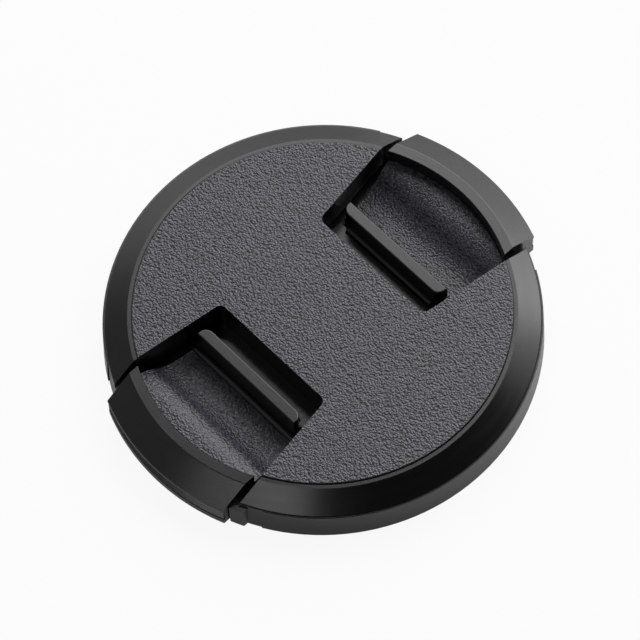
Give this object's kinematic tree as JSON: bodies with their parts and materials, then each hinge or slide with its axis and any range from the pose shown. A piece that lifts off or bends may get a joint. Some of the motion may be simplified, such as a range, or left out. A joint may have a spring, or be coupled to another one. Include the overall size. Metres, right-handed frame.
{
  "type": "camera lens cap",
  "caption": "Clip-on camera lens cap with a grained front panel and sprung centre-pinch tabs whose threaded rims hook into a filter thread",
  "frame": {"origin": "centre of the plane that the skirt rests on", "axes": "+Z is the optical axis and points out of the front panel; the tabs slide along X, and the right tab is on +X"},
  "size_m": [0.0738, 0.0708, 0.0084],
  "materials": {
    "body_plastic": "fine leather grain on the panel, satin rim",
    "back_plastic": "satin",
    "tab_plastic": "satin, with fine grain in the scoop",
    "spring_steel": "bright drawn wire"
  },
  "bodies": {
    "cap": {"front_plate": "body_plastic", "back_plate": "back_plastic", "right_spring": "spring_steel", "left_spring": "spring_steel"},
    "right_tab": {"right_pinch_tab": "tab_plastic"},
    "left_tab": {"left_pinch_tab": "tab_plastic"}
  },
  "joints": [
    {"name": "right_tab_slide", "type": "slide", "parent": "cap", "child": "right_tab", "axis": [-1, 0, 0], "range_m": [0, 0.003], "stiffness_N_per_m": 900, "springref_m": -0.002, "deforming": ["right_spring"]},
    {"name": "left_tab_slide", "type": "slide", "parent": "cap", "child": "left_tab", "axis": [1, 0, 0], "range_m": [0, 0.003], "stiffness_N_per_m": 900, "springref_m": -0.002, "deforming": ["left_spring"]}
  ]
}
